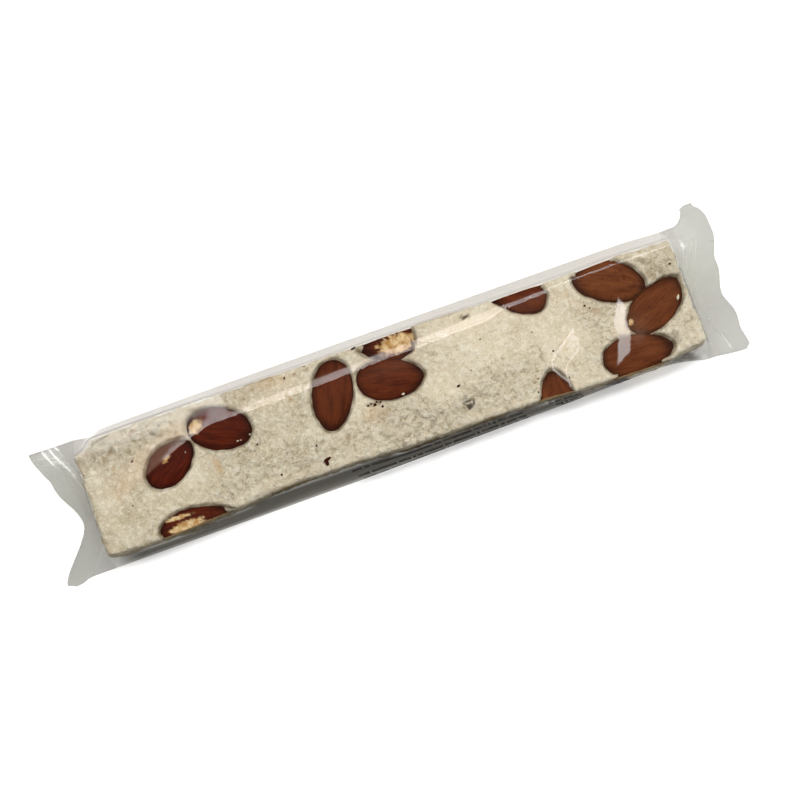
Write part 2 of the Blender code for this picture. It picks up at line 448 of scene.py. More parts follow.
class Almond:
    """An almond kernel in the bar.

    blunt and tip are the visible ends, as (x, y), and width is the visible width between them.
    bow pushes the middle of the kernel sideways, to the left of the way from blunt to tip.
    roundness and sharpness say how full the blunt end and the tip are, less being fuller.
    chips are patches of bare flesh, each (x, y, half length, half width, turn in degrees).
    """

    def __init__(self, name, blunt, tip, width, tone, **more):
        self.name = name
        self.blunt = np.array(blunt, float)
        self.tip = np.array(tip, float)
        run = self.tip - self.blunt
        self.middle = np.array([*(0.5 * (self.blunt + self.tip)), more.get("z", BAR_HEIGHT - KERNEL_DEPTH)])
        self.heading = math.atan2(run[1], run[0])
        self.pitch = math.radians(more.get("pitch", 0.0))
        self.roll = math.radians(more.get("roll", 0.0))
        self.length = math.hypot(*run) * HIDDEN_LENGTH
        self.width = width * HIDDEN_WIDTH
        self.thickness = more.get("thickness", 7.0)
        self.bow = more.get("bow", 0.0)
        self.tone = tone
        self.chips = more.get("chips", ())
        self.roundness = more.get("roundness", 0.52)
        self.sharpness = more.get("sharpness", 0.72)
        self.ridges = more.get("ridges", 1.0)
        self.seed = int(abs(self.middle[0]) * 13 + abs(self.middle[1]) * 7)

    def half_width(self, s):
        """Half width at s, from -1 at the blunt end to +1 at the tip."""
        low, high = self.roundness, self.sharpness
        peak = (low - high) / (low + high)
        most = (1 + peak) ** low * (1 - peak) ** high
        inside = np.clip(1 + s, 0, None) ** low * np.clip(1 - s, 0, None) ** high
        return 0.5 * self.width * inside / most

    def axes(self):
        """The kernel's own directions: towards its tip, across it and out of its upper face."""
        tip = np.array([math.cos(self.heading), math.sin(self.heading), 0.0])
        across = np.array([-tip[1], tip[0], 0.0])
        up = np.array([0.0, 0.0, 1.0])
        tip, up = (
            tip * math.cos(self.pitch) + up * math.sin(self.pitch),
            up * math.cos(self.pitch) - tip * math.sin(self.pitch),
        )
        across, up = (
            across * math.cos(self.roll) + up * math.sin(self.roll),
            up * math.cos(self.roll) - across * math.sin(self.roll),
        )
        return np.stack([tip, across, up])

    def surface(self):
        """Points in the kernel's own directions, with the angle round and place along of each."""
        s = -np.cos(np.linspace(0, math.pi, ALMOND_RINGS + 1))
        turn = np.linspace(0, 2 * math.pi, ALMOND_SIDES, endpoint=False)
        s, turn = np.meshgrid(s, turn, indexing="ij")
        half = self.half_width(s)
        side = np.cos(turn)
        rise = np.sin(turn)
        depth = 0.5 * self.thickness * (half / (0.5 * self.width)) ** 0.85
        key = np.stack([side * 3.2, rise * 3.2, s * 0.9 + self.seed], -1)
        fine = np.stack([side * 7.5, rise * 7.5, s * 1.4 + self.seed], -1)
        wrinkle = self.ridges * (0.10 * noise(key, 11) + 0.10 * (0.5 - np.abs(noise(fine, 12))))
        swell = 1 + 0.04 * noise(np.stack([side, rise, s * 1.5 + self.seed], -1), 14)
        along = 0.5 * self.length * s
        lens = np.sign(rise) * np.abs(rise) ** 0.82
        across = half * swell * side + wrinkle * side + self.bow * (1 - s * s)
        high = depth * swell * lens + wrinkle * rise
        return np.stack([along, across, high], -1), s, turn

    def bare_flesh(self, points):
        """How bare of skin each point in the bar is, from the chips."""
        bare = np.zeros(points.shape[:-1])
        ragged = layered(points[..., :2] * 0.8 + self.seed, 21, 3)
        for x, y, half_length, half_width, turn in self.chips:
            sine, cosine = math.sin(math.radians(turn)), math.cos(math.radians(turn))
            along = (points[..., 0] - x) * cosine + (points[..., 1] - y) * sine
            across = (points[..., 1] - y) * cosine - (points[..., 0] - x) * sine
            away = np.hypot(along / half_length, across / half_width)
            bare = np.maximum(bare, smooth((1.1 - away + 0.3 * ragged) / 0.2))
        return bare

    def depth_in(self, points):
        """Under 1 inside the kernel, 1 at its skin and more outside."""
        local = (points - self.middle) @ self.axes().T
        s = np.clip(2 * local[..., 0] / self.length, -0.999, 0.999)
        over = np.clip(np.abs(2 * local[..., 0] / self.length) - 1, 0, None)
        half = self.half_width(s)
        deep = 0.5 * self.thickness * (half / (0.5 * self.width)) ** 0.85
        across = (local[..., 1] - self.bow * (1 - s * s)) / half
        return across**2 + np.abs(local[..., 2] / deep) ** 2.4 + 20 * over

    def outline(self, count=64):
        """The visible outline seen from above, as points round it."""
        s = -np.cos(np.linspace(0, math.pi, count + 1))
        half = self.half_width(s) / HIDDEN_WIDTH
        along = 0.5 * self.length * s / HIDDEN_LENGTH
        bow = self.bow * (1 - s * s)
        tip, across, _ = self.axes()
        spine = self.middle[:2] + along[:, None] * tip[:2] + bow[:, None] * across[:2]
        reach = half[:, None] * across[:2]
        return np.concatenate([spine + reach, (spine - reach)[-2:0:-1]])


TOP_ALMONDS = (
    Almond("almond_01", (-84.4, -3.0), (-66.9, 7.5), 13.4, 0.0, sharpness=0.62,
           chips=((-76.6, 3.7, 1.7, 0.55, 35),)),
    Almond("almond_02", (-67.3, 12.1), (-46.4, 3.2), 14.6, 0.05, sharpness=0.5, roundness=0.5,
           chips=((-64.2, 10.9, 2.4, 1.9, 20),)),
    Almond("almond_03", (-86.5, -18.6), (-60.6, -19.7), 10.6, 0.1,
           chips=((-79.0, -15.7, 5.2, 0.7, -2), (-77.0, -19.1, 5.9, 1.5, 0))),
    Almond("almond_04", (-13.3, 16.9), (-22.3, -6.2), 14.4, 0.4, sharpness=0.55, roundness=0.45, ridges=1.5),
    Almond("almond_05", (-9.1, 7.2), (13.6, 1.6), 14.2, 0.3, sharpness=0.55, roundness=0.45, bow=-0.4,
           z=BAR_HEIGHT - KERNEL_DEPTH + 0.1),
    Almond("almond_06", (15.1, 16.1), (-5.2, 16.7), 15.0, 0.3, roundness=0.48, sharpness=0.75,
           z=BAR_HEIGHT - KERNEL_DEPTH - 0.2, chips=((8.3, 14.6, 6.2, 3.0, 0),)),
    Almond("almond_07", (60.6, 11.5), (41.8, 20.9), 11.8, 0.35, roundness=0.42),
    Almond("almond_08", (93.6, 4.4), (70.4, 15.6), 14.6, 0.95, sharpness=0.55, bow=-0.5),
    Almond("almond_09", (83.1, -7.9), (105.6, 3.5), 14.0, 0.85, sharpness=0.62, bow=-0.3,
           chips=((84.3, -5.2, 1.0, 0.7, 60),)),
    Almond("almond_10", (70.6, -14.9), (95.8, -16.8), 13.6, 0.75, sharpness=0.6, roundness=0.44),
    Almond("almond_11", (51.6, -32.6), (53.4, -11.0), 11.2, 0.8, sharpness=0.55, ridges=3.0),
)


# Kernels that are cut through by the bar's front, back, ends and underside.
SIDE_ALMONDS = (
    Almond("almond_12", (-48, -16.4), (-29, -15.6), 8.6, 0.4, z=7.4, roll=78),
    Almond("almond_13", (15, -17.4), (-3, -18.2), 7.6, 0.3, z=5.9, roll=66),
    Almond("almond_14", (20, -17.2), (38, -17.6), 7.0, 0.6, z=8.8, roll=-50),
    Almond("almond_15", (80, -20.0), (62, -19.0), 7.4, 0.8, z=5.6, roll=82),
    Almond("almond_16", (-97, 16.6), (-80, 17.0), 8.0, 0.1, z=6.9, roll=70),
    Almond("almond_17", (-41, 16.4), (-58, 17.2), 8.2, 0.3, z=7.6, roll=-74),
    Almond("almond_18", (14, 16.2), (32, 16.8), 8.4, 0.5, z=7.0, roll=80),
    Almond("almond_19", (93, 15.6), (76, 16.0), 7.8, 0.8, z=6.2, roll=64),
    Almond("almond_20", (-102.6, 13), (-103.2, -4), 8.0, 0.2, z=7.0, roll=75),
    Almond("almond_21", (104.2, 3), (104.0, -14), 8.2, 0.7, z=6.4, roll=-70),
    Almond("almond_22", (-70, -7), (-52, -2), 11.0, 0.3, z=2.6),
    Almond("almond_23", (-14, 9), (-30, 2), 10.4, 0.4, z=2.3, thickness=6.4),
    Almond("almond_24", (30, -9), (48, -3), 11.4, 0.6, z=2.4),
    Almond("almond_25", (74, 8), (90, 0), 10.8, 0.7, z=2.7),
)


def almond_face(almond, material):
    """The kernel as a mesh, cut flat where it reaches the bar's sides."""
    local, s, turn = almond.surface()
    points = almond.middle + local @ almond.axes()
    bare = almond.bare_flesh(points) * (points[..., 2] > almond.middle[2])
    points[..., 2] -= 0.25 * bare
    shape = points.shape[:2]
    x = points[..., 0]
    sides = (
        (1, 1, bar_back(x) - 0.15),
        (1, -1, bar_front(x) + 0.15),
        (0, -1, BAR_LEFT + 0.15),
        (0, 1, BAR_RIGHT - 0.15),
        (2, -1, BAR_BASE + 0.08),
    )
    cut = np.zeros(shape)
    for axis, facing, level in sides:
        past = (points[..., axis] - level) * facing
        cut = np.maximum(cut, past)
        uneven = 0.08 * noise(np.delete(points, axis, -1) * 0.9 + 3.1, 33)
        points[..., axis] = np.where(past > 0, level + uneven, points[..., axis])
    flesh = np.maximum(bare, smooth((cut - 0.15) / 0.2))
    buried = BAR_HEIGHT - 0.5 - points[..., 2]
    shade = np.maximum(0.4 * smooth((np.abs(s) - 0.93) / 0.07), 0.7 * smooth(buried / 1.0)) * (cut <= 0)
    grain = np.stack([s * 0.5 * almond.length, turn / (2 * math.pi) * 36.0, s * 0 + almond.seed], -1)
    index = np.arange(shape[0] * shape[1]).reshape(shape)
    index = np.concatenate([index, index[:, :1]], 1)
    faces = grid_faces(index)
    keep = {
        "flesh": flesh.ravel(),
        "shade": shade.ravel(),
        "grain": grain.reshape(-1, 3),
        "tone": np.full(flesh.size, almond.tone),
    }
    piece = add_mesh(almond.name, points.reshape(-1, 3), faces, material, keep)
    weld = piece.modifiers.new("weld", "WELD")
    weld.merge_threshold = 0.01 * MM
    return piece


# ---------------------------------------------------------------- nougat

GRID_STEP = 0.46
GRID_RISE = 0.72

# Marks in the top: (x, y, half length, half width, turn in degrees, depth, stain, dark), where dark is painted shade
# in holes and cracks and the dark colour of a few lines.
MARKS = (
    (-95.4, 17.4, 3.0, 0.35, 8, 0.5, 0.2, 0.55),
    (-87.3, 17.7, 1.0, 0.3, 0, 0.3, 0.0, 0.45),
    (-84.1, 16.0, 2.4, 0.4, 20, 0.4, 0.3, 0.15),
    (-93.5, 12.3, 3.2, 0.45, 40, 0.4, 0.25, 0.1),
    (-96.0, 10.1, 1.6, 0.4, 60, 0.3, 0.2, 0.1),
    (-88.6, 14.1, 3.0, 0.4, 15, 0.35, 0.2, 0.1),
    (-61.9, 16.2, 4.2, 0.5, -8, 0.45, 0.2, 0.3),
    (-78.0, 13.2, 1.2, 0.45, -40, 0.4, 0.0, 0.4),
    (-76.2, 11.8, 1.1, 0.5, -30, 0.4, 0.0, 0.4),
    (-93.6, 6.5, 0.35, 1.3, 0, 0.1, 0.55, 0.0),
    (-104.9, 11.1, 0.8, 6.5, 0, 0.1, 0.25, 0.0),
    (-61.1, -4.0, 1.0, 2.9, 4, 0.05, 0.42, 0.0),
    (-95.5, -2.3, 0.5, 2.6, 5, 0.15, 0.25, 0.0),
    (-6.2, -5.4, 4.4, 3.2, 0, 0.0, 0.30, 0.0),
    (-5.4, -2.2, 3.2, 0.8, -14, 0.3, 0.35, 0.35),
    (-31.1, 8.6, 0.8, 0.6, 0, 0.1, 0.6, 0.15),
    (-17.8, -10.4, 0.7, 1.6, 0, 0.3, 0.25, 0.2),
    (24.0, -11.7, 1.9, 0.35, -6, 1.2, 0.0, 0.9),
    (23.8, -13.6, 1.1, 1.0, 10, 1.2, 0.0, 0.85),
    (25.7, -12.6, 0.45, 1.3, -8, 0.9, 0.0, 0.7),
    (22.4, -12.2, 0.4, 0.9, 20, 0.6, 0.0, 0.5),
    (22.8, -10.6, 1.3, 0.8, 20, 0.5, 0.0, 0.35),
    (26.9, -9.5, 4.8, 0.4, -38, 0.35, 0.0, 0.12),
    (17.0, -12.8, 5.0, 0.4, 46, 0.35, 0.0, 0.12),
    (10.4, -14.8, 0.9, 1.7, -40, 0.35, 0.15, 0.35),
    (-0.7, -18.2, 1.1, 0.8, 0, 0.4, 0.0, 0.4),
    (32.8, 15.2, 1.3, 0.5, 12, 0.8, 0.2, 0.85),
    (31.6, 15.9, 1.0, 0.6, 40, 0.5, 0.2, 0.4),
    (-35.8, 16.2, 6.2, 1.9, -4, 0.0, 0.28, 0.0),
    (-36.6, 18.0, 5.0, 0.3, 0, 0.2, 0.45, 0.2),
    (-27.6, 16.0, 0.9, 0.5, 30, 0.3, 0.3, 0.25),
    (26.8, 17.8, 2.4, 0.35, 0, 0.2, 0.5, 0.3),
    (67.1, 10.1, 0.4, 4.4, -3, 0.35, 0.25, 0.0),
    (74.3, 2.5, 2.4, 1.1, -20, 0.2, 0.35, 0.1),
    (70.0, 5.9, 2.2, 3.2, 0, 0.0, 0.14, 0.0),
    (96.0, 8.1, 1.3, 2.2, 30, 0.5, 0.2, 0.3),
    (99.8, 6.9, 1.1, 1.6, 0, 0.5, 0.1, 0.3),
    (94.9, 12.7, 1.9, 0.8, -40, 0.5, 0.1, 0.3),
    (90.7, 17.4, 2.8, 0.35, -5, 0.2, 0.5, 0.1),
    (96.4, -14.8, 1.2, 2.6, 30, 0.5, 0.0, 0.3),
)


def box_lattice(counts):
    """The surface of a box of cells: points from -1 to +1 along each axis, and quads facing out."""
    index = np.full([n + 1 for n in counts], -1)
    inside = tuple(slice(1, -1) for _ in counts)
    surface = np.ones(index.shape, bool)
    surface[inside] = False
    index[surface] = np.arange(surface.sum())
    places = np.argwhere(surface) / np.array(counts) * 2 - 1
    faces = []
    for axis in range(3):
        for side in (0, -1):
            quads = grid_faces(np.take(index, side, axis))
            outward = (side == -1) != (axis == 1)
            faces.append(quads if outward else quads[:, ::-1])
    return places, np.concatenate(faces)


def lumpiness(x, y):
    """How lumpy the top is at a place, from about 0.15 where it's pressed smooth to 1."""
    rough = 0.42 + 0.35 * noise(np.stack([x / 22, y / 14], -1), 41)
    for at_x, at_y, reach_x, reach_y, change in (
        (6, -12, 24, 7, 0.7),
        (42, -14, 16, 5, 0.35),
        (36, 7, 18, 9, -0.6),
        (-100, -3, 6, 14, -0.6),
        (-54, -13, 11, 5, 0.5),
        (-45, 2, 14, 10, 0.15),
        (-68, -5, 9, 5, -0.4),
        (17, -6, 5, 6, -0.7),
        (60, 4, 8, 12, -0.4),
        (74, -2, 7, 10, 0.3),
        (99, 11, 7, 6, 0.45),
        (101, -13, 6, 7, 0.3),
        (-88, 15, 18, 4, 0.9),
    ):
        rough += change * bump(np.hypot((x - at_x) / reach_x, (y - at_y) / reach_y), 1.0)
    return np.clip(rough, 0.10, 1.0)


def relief_of(points, upward):
    """How far the nougat stands out of its plain form, and the painted shade in its creases and cracks, 0 to 1."""
    rough = np.where(upward, lumpiness(points[:, 0], points[:, 1]), 0.6)
    warp = points * np.array([0.82, 1.0, 1.0])
    warp = warp + 0.9 * np.stack([noise(points / 4.3, seed) for seed in (43, 44, 45)], -1)
    lumps = billows(warp / 4.4, 46, 2)
    clots = billows(warp / 1.7, 56, 2)
    cracks = np.abs(noise(warp / 8.0, 66))
    crack = (1 - smooth(cracks / 0.035)) * smooth((noise(points / 13.0, 67) - 0.1) / 0.3)
    relief = 0.26 * noise(points / 26, 48)
    relief += rough * 0.95 * (lumps - 0.36)
    relief += (0.25 + 0.75 * rough) * 0.36 * (clots - 0.36)
    relief += 0.05 * layered(points / 0.9, 49, 2)
    relief -= 0.25 * crack
    # Painted shade in the creases between lumps and clots, and in the cracks.
    crevice_shade = rough * 0.55 * (1 - smooth(lumps / 0.22))
    crevice_shade += (0.3 + 0.7 * rough) * 0.35 * (1 - smooth(clots / 0.2))
    crevice_shade += 0.4 * crack
    return relief, np.clip(crevice_shade, 0, 0.9)


def marks_at(points):
    """Depth, stain and dark from the marks in the top, dark being painted shade in holes and cracks and the colour of
    a few dark lines.
    """
    found = np.zeros((3, len(points)))
    ragged = layered(points[:, :2] / 1.3, 71, 2)
    for x, y, half_length, half_width, turn, *amounts in MARKS:
        sine, cosine = math.sin(math.radians(turn)), math.cos(math.radians(turn))
        along = (points[:, 0] - x) * cosine + (points[:, 1] - y) * sine
        across = (points[:, 1] - y) * cosine - (points[:, 0] - x) * sine
        away = np.hypot(along / half_length, across / half_width) + 0.4 * ragged
        share = 1 - smooth((away - 0.5) / 0.9)
        found = np.maximum(found, np.array(amounts)[:, None] * share)
    return found


def sockets(plan, relief):
    """The relief with the nougat sunk at and round the almonds, and the painted shade at their rims."""
    dip = np.zeros(len(plan))
    rim = np.zeros(len(plan))
    for almond in TOP_ALMONDS:
        near = np.hypot(*(plan - almond.middle[:2]).T) < 0.5 * almond.length + 4
        away = outline_distance(plan[near], almond.outline())
        outside = np.clip(away, 0, None)
        swell = noise(plan[near] / 3.5, 51)
        depth = 1.0 + 0.4 * swell
        reach = 0.42 + 0.2 * noise(plan[near] / 2.2, 52)
        sink = np.where(away < 0, depth + 1.4 * smooth(-away / 0.8), depth * np.exp(-outside / reach))
        lip = 0.16 * bump(outside - 1.5, 1.0) * (away > 0)
        dip[near] = np.maximum(dip[near], sink - lip)
        shadow = (0.62 + 0.5 * swell) * bump(outside, 0.35 + 0.45 * reach)
        rim[near] = np.maximum(rim[near], shadow)
    return relief * np.exp(-np.clip(dip, 0, None) * 0.8) - dip, np.clip(rim, 0, 0.9)


def side_sockets(points, relief):
    """The relief sunk under the kernels that the sides cut through, and the painted shade at their rims."""
    rim = np.zeros(len(points))
    for almond in TOP_ALMONDS + SIDE_ALMONDS:
        near = np.linalg.norm(points - almond.middle, axis=1) < 0.5 * almond.length + 4
        inside = almond.depth_in(points[near])
        relief[near] = mix(relief[near], -0.75, smooth((1.3 - inside) / 0.4))
        rim[near] = np.maximum(rim[near], 0.6 * bump(inside - 1.25, 0.3))
    return relief, rim


def add_nougat(material):
    half_length = 0.5 * (BAR_RIGHT - BAR_LEFT)
    middle = 0.5 * (BAR_RIGHT + BAR_LEFT)
    counts = (int(2 * half_length / GRID_STEP), int(BAR_WIDTH / GRID_STEP), int(BAR_HEIGHT / GRID_RISE))
    lattice, faces = box_lattice(counts)
    x = middle + lattice[:, 0] * half_length
    back, front = bar_back(x), bar_front(x)
    rest = np.ones(len(x))
    half = np.stack([half_length * rest, 0.5 * (back - front), 0.5 * (BAR_HEIGHT - BAR_BASE) * rest], -1)
    centre = np.stack([middle * rest, 0.5 * (back + front), 0.5 * (BAR_HEIGHT + BAR_BASE) * rest], -1)
    flat = lattice * half
    edge = 1.3 + 0.6 * noise(np.stack([x / 9, lattice[:, 1] * 2, lattice[:, 2] * 2], -1), 42)
    edge = np.clip(edge, 0.6, 2.4)[:, None]
    core = np.clip(flat, -(half - edge), half - edge)
    away = flat - core
    normal = away / np.maximum(np.linalg.norm(away, axis=1, keepdims=True), 1e-9)
    points = centre + core + normal * edge
    upward = normal[:, 2] > 0.3
    relief, crevice_shade = relief_of(points, upward)
    depth, stain, dark = marks_at(points) * upward
    relief = relief * (1 - np.clip(1.5 * depth, 0, 1) * 0.5) - depth
    band = bump((x + 99.4) / 2.4, 1.0) * smooth((10 - points[:, 1]) / 4) * smooth((points[:, 1] + 14) / 4) * upward
    relief = mix(relief, 0.1, 0.75 * band)
    crevice_shade = crevice_shade * (1 - 0.8 * band)
    upper = normal[:, 2] > 0.2
    relief[upper], rim = sockets(points[upper, :2], relief[upper])
    crevice_shade[upper] = np.maximum(crevice_shade[upper], rim)
    relief[~upper], rim = side_sockets(points[~upper], relief[~upper])
    crevice_shade[~upper] = np.maximum(crevice_shade[~upper], rim)
    points = points + normal * relief[:, None]
    points[:, 2] = np.maximum(points[:, 2], LOWEST_NOUGAT)
    tone = 0.54 + 0.0026 * x + 0.3 * noise(points / 24, 53) + 0.2 * noise(points / 6, 54)
    tone = tone - 0.35 * bump(x + 98, 9.0) + 0.2 * bump(np.hypot((x - 2) / 18, (points[:, 1] + 12) / 6), 1.0)
    rough = np.where(upward, lumpiness(points[:, 0], points[:, 1]), 0.6) * (1 - 0.8 * band)
    keep = {"crevice_shade": crevice_shade, "stain": stain, "dark": dark, "tone": np.clip(tone, 0, 1), "rough": rough}
    return add_mesh("nougat", points, faces, material, keep)


# ---------------------------------------------------------------- crumbs

# Dark specks of skin on the top: (x, y, half length, half width, turn in degrees).
SPECKS = (
    (-87.3, 6.9, 0.6, 0.45, 30), (-91.8, -7.0, 0.3, 0.25, 0), (-46.6, -1.7, 0.38, 0.38, 0),
    (-42.3, -14.0, 0.42, 0.42, 0), (-23.4, 17.6, 0.25, 0.2, 0), (-28.3, -8.7, 0.3, 0.45, 0),
    (-7.8, -2.0, 0.5, 0.35, 20), (-6.6, -1.7, 0.45, 0.3, 0), (-5.5, -2.4, 0.6, 0.5, 40),
    (-4.7, -1.7, 0.4, 0.3, 0), (-3.5, -2.2, 0.35, 0.3, 0), (-3.3, -3.8, 0.5, 0.4, 60),
    (22.6, -5.9, 0.6, 0.5, 20), (34.8, 6.4, 0.28, 0.28, 0), (28.4, -2.4, 0.22, 0.22, 0),
    (71.5, 5.2, 0.4, 0.35, 0), (72.9, 4.1, 0.34, 0.3, 0), (51.8, 2.8, 0.22, 0.22, 0),
    (56.4, -5.5, 0.38, 0.3, 0), (48.3, -12.6, 0.3, 0.25, 0), (58.2, -15.7, 0.34, 0.34, 0),
    (46.9, -16.8, 0.3, 0.3, 0), (103.3, 8.9, 0.4, 0.36, 0), (93.3, 4.4, 0.4, 0.3, 0),
    (102.2, -3.7, 0.3, 0.25, 0), (-26.5, -14.3, 1.25, 0.55, 16), (-26.9, -15.2, 0.6, 1.1, -10),
    (-6.0, 17.8, 1.0, 0.3, 10),
    (-30.9, 16.1, 0.5, 0.3, 60), (63.2, 9.5, 0.2, 0.2, 0),
)
# White crumbs of nougat on the almonds.
WHITE_CRUMBS = (
    (-52.3, 1.6, 0.4, 0.25, 0), (-51.2, 1.5, 0.25, 0.2, 30), (-47.8, 2.3, 0.35, 0.25, 30),
    (4.5, -2.2, 0.55, 0.4, 10), (101.9, -2.6, 0.9, 0.5, 60), (-69.8, 3.9, 0.2, 0.2, 0),
)


def add_crumbs(name, places, material, height, attributes):
    """Small lumps lying in the top, joined as one mesh."""
    rings, sides = 6, 9
    points, faces = [], []
    tilt = np.linspace(-0.5 * math.pi, 0.5 * math.pi, rings + 1)
    turn = np.linspace(0, 2 * math.pi, sides, endpoint=False)
    tilt, turn = np.meshgrid(tilt, turn, indexing="ij")
    ball = np.stack([np.cos(tilt) * np.cos(turn), np.cos(tilt) * np.sin(turn), np.sin(tilt)], -1)
    index = np.arange(ball[..., 0].size).reshape(ball.shape[:2])
    index = np.concatenate([index, index[:, :1]], 1)
    for x, y, half_length, half_width, angle in places:
        jag = 1 + 0.35 * noise(ball * 1.7 + x, 75)
        shape = ball * jag[..., None] * np.array([half_length, half_width, 0.45 * (half_length + half_width)])
        sine, cosine = math.sin(math.radians(angle)), math.cos(math.radians(angle))
        spun = np.stack([
            shape[..., 0] * cosine - shape[..., 1] * sine,
            shape[..., 0] * sine + shape[..., 1] * cosine,
            shape[..., 2],
        ], -1)
        faces.append(grid_faces(index) + len(points) * ball[..., 0].size)
        points.append((spun + np.array([x, y, height(x, y)])).reshape(-1, 3))
    count = len(points) * ball[..., 0].size
    keep = {key: np.full(count, value) for key, value in attributes.items()}
    piece = add_mesh(name, np.concatenate(points), np.concatenate(faces), material, keep)
    weld = piece.modifiers.new("weld", "WELD")
    weld.merge_threshold = 0.002 * MM
    return piece


def nougat_top(x, y):
    """Height of the nougat's top away from almonds."""
    point = np.array([[x, y, BAR_HEIGHT]])
    relief, _ = relief_of(point, np.array([True]))
    depth, _, _ = marks_at(point)
    return BAR_HEIGHT + relief[0] - depth[0]


# ---------------------------------------------------------------- film

SEAL_STEPS = 56
TAPER_STEPS = 14
CORNER_DROOP = math.radians(8)


class SealedEnd:
    """One end of the pack, as the solid has it. side is -1 or +1 along X.

    rise is how far the seal stands up at its valley, in degrees. reach gives (y, how far past
    the bar the cut edge is) and crimps (from, to, depth) along the seal.
    """

    def __init__(self, side, start, back, front, corner, valley, back_reach, front_reach, rise, length, crimps, reach):
        self.side = side
        self.start = start
        self.back = back
        self.front = front
        self.corner = corner
        self.valley = valley
        self.back_reach = back_reach
        self.front_reach = front_reach
        self.rise = math.radians(rise)
        self.length = length
        self.crimps = crimps
        self.reach = reach

    def standing(self, y):
        reach = np.where(y > self.valley, self.back_reach, self.front_reach)
        return np.exp(-(((y - self.valley) / reach) ** 2))

    def bend(self, y):
        return self.rise * self.standing(y) - CORNER_DROOP * (1 - self.standing(y))

    def crimp(self, seal):
        start, stop, depth = self.crimps
        inside = smooth((seal - start) / 0.04) * smooth((stop - seal) / 0.04)
        return depth * inside * np.sin(2 * math.pi * seal * self.length / CRIMP_PITCH)


CRIMP_PITCH = 1.0
LEFT_END = SealedEnd(
    -1, BAR_LEFT, 21.7, 25.3, 1.1, -7.4, 15, 11, 76, 9.6, (0.1, 0.9, 0.02),
    ((-25.3, 14.1), (-24.0, 16.7), (-21.0, 15.0), (-17.9, 11.9), (-14.4, 8.1), (-11.2, 5.1),
     (-7.4, 3.7), (-1.9, 4.6), (5.8, 8.4), (14.2, 13.2), (21.7, 15.7)),
)
RIGHT_END = SealedEnd(
    +1, BAR_RIGHT, 27.6, 25.9, 0.9, -6.4, 11, 8, 48, 12.4, (0.02, 0.50, 0.10),
    ((-25.9, 12.1), (-24.5, 15.2), (-19.5, 14.2), (-13.6, 12.0), (-10.1, 9.2), (-6.4, 8.1),
     (0.0, 9.7), (8.8, 14.9), (16.0, 17.3), (20.6, 17.2), (25.8, 15.0), (27.6, 11.8)),
)

BACK_CREASE = (
    (-105, 21.3), (-99, 20.5), (-95, 21.8), (-80, 22.1), (-20, 22.3), (52, 22.2), (90, 22.1),
    (101, 21.6), (106, 21.4),
)
FRONT_CREASE = (
    (-105, -24.0), (-20, -24.0), (4, -23.7), (28, -23.3), (52, -23.1), (76, -22.5), (89, -22.3),
    (96, -22.9), (101, -24.0), (106, -25.0),
)

# The fold along the top that glares: where it starts and ends across, how softly it does, and its
# slope and the slope behind it.
FOLD_START = (
    (-105, -7.5), (-84, 0.6), (-67, 7.3), (-56, 9.6), (-10, 10.0), (2, 10.6), (12, 10.8), (24, 11.4),
    (38, 11.6), (45, 13.1), (60, 13.5), (106, 14.0),
)
FOLD_END = (
    (-105, -6.9), (-84, 1.1), (-67, 8.0), (-54, 10.4), (-42, 12.3), (-8, 12.9), (4, 13.6), (14, 13.4),
    (24, 13.8), (41, 14.6), (106, 15.0),
)
START_SOFTNESS = ((-105, 0.10), (0, 0.12), (20, 0.8), (38, 0.8), (46, 0.25), (106, 0.25))
END_SOFTNESS = ((-105, 0.4), (-50, 0.7), (0, 0.7), (16, 0.12), (106, 0.12))
FOLD_SLOPE = ((-105, 0.0), (-82, 0.0), (-74, -0.06), (-60, -0.076), (57, -0.076), (64, 0.01), (106, 0.01))
BACK_SLOPE = ((-105, -0.008), (-60, -0.008), (-46, -0.19), (106, -0.19))
FRONT_SLOPE = 0.03

UPPER_STEPS = 132
LOWER_STEPS = 32
# Steps along the bar between these places, closer together where the film is creased.
BODY_PLACES = (BAR_LEFT, -88, -46, 50, 68, 75, 88, BAR_RIGHT)
BODY_STEPS = (24, 80, 128, 60, 10, 36, 30)
SEAL_HALF = 0.11


def turned(distance, softness):
    """The height gained past a fold, for one unit of slope."""
    return softness * np.logaddexp(0.0, distance / softness)


def lowest(sheets, softness):
    """The lowest of several heights, rounded where they meet."""
    return -softness * np.logaddexp.reduce([-sheet / softness for sheet in sheets])


def top_sheet(x, y):
    """Height of the film's top, before it turns down at the bar's sides."""
    start, end = along_points(x, FOLD_START), along_points(x, FOLD_END)
    fold, behind = along_points(x, FOLD_SLOPE), along_points(x, BACK_SLOPE)
    height = FILM_TOP + FRONT_SLOPE * (y - start)
    height = height + (fold - FRONT_SLOPE) * turned(y - start, along_points(x, START_SOFTNESS))
    return height + (behind - fold) * turned(y - end, along_points(x, END_SOFTNESS))


def tube_top(x, y):
    """Height of the film over the bar."""
    back, front = along_points(x, BACK_CREASE), along_points(x, FRONT_CREASE)
    shoulder_front, shoulder_back = bar_front(x) - 0.4, bar_back(x) + 0.5
    top = top_sheet(x, y)
    front_panel = CREASE_HEIGHT + (top_sheet(x, shoulder_front) - CREASE_HEIGHT) * (y - front) / (shoulder_front - front)
    back_panel = CREASE_HEIGHT + (top_sheet(x, shoulder_back) - CREASE_HEIGHT) * (back - y) / (back - shoulder_back)
    return lowest([top, front_panel, back_panel], 0.3)


def tube_bottom(x, y):
    """Height of the film under the bar."""
    back, front = along_points(x, BACK_CREASE), along_points(x, FRONT_CREASE)
    base_front, base_back = bar_front(x) + 0.4, bar_back(x) - 0.4
    from_front = (y - front) / (base_front - front)
    from_back = (back - y) / (back - base_back)
    return 0.12 + (CREASE_HEIGHT - 0.12) * (1 - smooth(np.minimum(from_front, from_back)))


